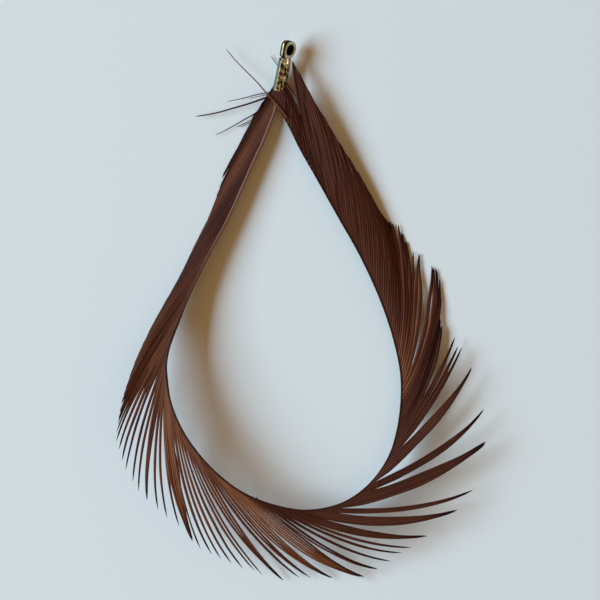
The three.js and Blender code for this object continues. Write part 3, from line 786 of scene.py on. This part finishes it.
# the rings lead out through the mouth, over the body and in again at the far end
mouth = body_points[0]
far_end = body_points[-1]
rings = [mouth * [0.5, 1, 0.45] + [0, 1.6, 0], mouth * [0.72, 1, 0.68] + [0, 1.5, 0], mouth * [0.72, 1, 0.68],
         mouth * [0.8, 1, 0.78] - [0, 0.02, 0], mouth * [0.95, 1, 0.95] - [0, 0.02, 0]] + body_points
rings += [far_end * [0.93, 1, 0.9] + [0, 0.06, 0], far_end * [0.8, 1, 0.6] + [0, 0.07, 0],
          far_end * [0.7, 1, 0.4] + [0, 0.0, 0]]
patinas_and_shade = [np.full(ring, 0.9)] * 3 + [np.full(ring, 0.3)] * 2 + body_patina_and_shade + [np.full(ring, 0.5)] * 3
worns = [np.zeros(ring)] * 3 + [np.full(ring, 0.3)] * 2 + body_worn + [np.zeros(ring)] * 3
dulls = [np.zeros(ring)] * 5 + body_dull + [np.zeros(ring)] * 3
folded = (np.concatenate(rings), tube_faces(len(rings), ring),
          {"patina_and_shade": np.concatenate(patinas_and_shade), "worn_and_reflection": np.concatenate(worns), "dull": np.concatenate(dulls)})

# the strap between the channel and the eye, turning as it rises
neck_outline, _ = rounded_box(0.5, 0.5, 0.18, 8, 8)
neck_rings = []
for up in np.linspace(0, 1, NECK_STATIONS):
    wide, deep = 1.9 - 0.45 * up, 1.35 - 0.25 * up
    x, z = turned_round(neck_outline[:, 0] * wide, neck_outline[:, 1] * deep, EYE_TURN * eased(up, 0.3, 1))
    neck_rings.append(np.stack([x + EYE_CENTRE[0] * up, np.full(len(x), 5.55 + 1.15 * up), z], -1))
neck_points = np.concatenate(neck_rings)
neck = (neck_points, tube_faces(NECK_STATIONS, len(neck_outline)),
        {"patina_and_shade": np.full(len(neck_points), 0.25), "worn_and_reflection": np.zeros(len(neck_points)),
         "dull": np.zeros(len(neck_points))})

# the eye: a short D-shaped tube of the same strap, its outside crowned; its section is given
# flat and crowned, as (0 at the hole to 1 outside, -1 at the tube's back end to 1 at its front)
EYE_FLAT = [(0.0, 0.78), (0.0, 0.3), (-0.3, -0.3), (-0.8, -0.78), (-0.7, -0.93), (0.2, -1.0), (0.55, -1.0),
            (0.86, -1.0), (0.96, -0.92), (1.0, -0.5), (1.0, 0.0), (1.0, 0.5), (0.96, 0.92), (0.86, 1.0),
            (0.55, 1.0), (0.2, 1.0), (0.05, 0.93)]
EYE_CROWNED = [(0.0, 0.78), (0.0, 0.3), (-0.3, -0.3), (-0.8, -0.78), (-0.7, -0.93), (0.2, -1.0),
               (0.4, -1.0), (0.62, -0.97), (0.78, -0.8), (0.92, -0.45), (1.0, 0.0), (0.92, 0.45),
               (0.78, 0.8), (0.62, 0.97), (0.4, 1.0), (0.2, 1.0), (0.05, 0.93)]
eye_points, eye_patina_and_shade, eye_worn_and_reflection = [], [], []
for step in range(EYE_STEPS):
    a = 2 * math.pi * step / EYE_STEPS
    c, n = math.cos(a), math.sin(a)
    power = 2.0 if c > 0 else 4.5
    edge = (abs(c / EYE_HALF_WIDTH)**power + abs(n / (EYE_HEIGHT / 2))**power)**(-1 / power)
    wobble = 1 + 0.012 * math.sin(3 * a + 0.6) + 0.008 * math.sin(7 * a)
    crown = float(eased(-c, 0.1, 0.7)) * 0.8
    for flat, crowned in zip(EYE_FLAT, EYE_CROWNED):
        deep, side = np.array(flat) * (1 - crown) + np.array(crowned) * crown
        # a first section value below 0 is a lip across the back of the hole, part of its painted dark inside
        if deep < -0.5:
            deep *= 1 + 0.6 * float(eased(c, 0.2, 0.8))
        reach = EYE_HOLE + (edge * wobble - EYE_HOLE) * deep
        x, z = turned_round(reach * c, side * EYE_LENGTH / 2, EYE_TURN)
        eye_points.append((x + EYE_CENTRE[0], reach * n + EYE_CENTRE[1], z + EYE_CENTRE[2]))
        # the hole's inside and the lip are painted near black as shade; the left wall is painted dark except
        # a narrow band, painted shade around its highlight
        on_wall = abs(side) < 0.93 and deep > 0.7 and c < 0.1
        eye_patina_and_shade.append(1.0 if deep < 0.03 else 0.75 * on_wall * (abs(side + 0.2) > 0.2) + 0.12)
        # the rest of the eye is painted pale, standing in for the reflection of a bright room
        eye_worn_and_reflection.append(0.0 if deep < 0.03 or on_wall else 0.8)
ring = len(EYE_FLAT)
eye_faces = []
for j in range(EYE_STEPS):
    here, there = j * ring, (j + 1) % EYE_STEPS * ring
    for k in range(ring):
        beyond = (k + 1) % ring
        eye_faces.append((here + k, here + beyond, there + beyond, there + k))
eye = (np.array(eye_points), eye_faces, {"patina_and_shade": np.array(eye_patina_and_shade), "worn_and_reflection": np.array(eye_worn_and_reflection),
                                         "dull": np.zeros(len(eye_points))})

crimp_parts = [(placed(points), faces, floats) for points, faces, floats in (folded, neck, eye)]
crimp_end = joined("crimp_end_skin", crimp_parts, brass)
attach(crimp_end, "root")
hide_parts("crimp_end")

# ---------------------------------------------------------------- room
# A plain pale board under the earring, a large soft window light from the left, a weak warm light
# from the lower right, and a camera that looks straight down.

LIGHT_RISE = math.radians(29)
LIGHT_DISTANCE = 2.5
LENS = 400
SENSOR = 36
VIEW_MIDDLE = (-0.375, 1.875)  # in the drawing, mm
VIEW_WIDTH = 0.1125
VIEW_LEVEL = 0.002  # the height at which the view is that wide

board_mesh = bpy.data.meshes.new("board")
board_mesh.from_pydata([(-2, -2, 0), (2, -2, 0), (2, 2, 0), (-2, 2, 0)], [], [(0, 1, 2, 3)])
board = bpy.data.objects.new("board", board_mesh)
bpy.context.scene.collection.objects.link(board)
board_paint = bpy.data.materials.new("board_paint")
tree, shader, add, join = nodes_of(board_paint)
shader.inputs["Base Color"].default_value = (0.745, 0.808, 0.818, 1)
shader.inputs["Roughness"].default_value = 0.75
shader.inputs["Specular IOR Level"].default_value = 0.2
board_mesh.materials.append(board_paint)

world = bpy.data.worlds.new("soft_room")
bpy.context.scene.world = world
world.use_nodes = True
world.node_tree.nodes["Background"].inputs["Color"].default_value = (0.23, 0.118, 0.04, 1)
world.node_tree.nodes["Background"].inputs["Strength"].default_value = 1.3


def soft_light(name, size, colour, energy, location):
    """A rectangular light, size metres wide and high, that faces the middle of the board."""
    light = bpy.data.lights.new(name, "AREA")
    light.shape = "RECTANGLE"
    light.size, light.size_y = size
    light.color = colour
    light.energy = energy
    lamp = bpy.data.objects.new(name, light)
    lamp.location = location
    lamp.rotation_euler = (-lamp.location).to_track_quat("-Z", "Y").to_euler()
    bpy.context.scene.collection.objects.link(lamp)


window_place = (-LIGHT_DISTANCE * math.cos(LIGHT_RISE), 0.05, LIGHT_DISTANCE * math.sin(LIGHT_RISE))
soft_light("window", (1.9, 1.05), (0.62, 0.83, 1.0), 115, window_place)
soft_light("card", (0.7, 0.7), (1.0, 0.9, 0.72), 1.3, (0.81, -0.94, 1.57))

camera_data = bpy.data.cameras.new("camera")
camera_data.lens = LENS
camera_data.sensor_width = SENSOR
camera_data.clip_end = 10
camera = bpy.data.objects.new("camera", camera_data)
bpy.context.scene.collection.objects.link(camera)
camera.location = ((VIEW_MIDDLE[0] + DRAWING_ZERO[0]) * MM, (VIEW_MIDDLE[1] + DRAWING_ZERO[1]) * MM,
                   VIEW_WIDTH * LENS / SENSOR + VIEW_LEVEL)
camera.rotation_euler = (0, 0, 0)
bpy.context.scene.camera = camera
bpy.context.scene.view_settings.view_transform = "Standard"
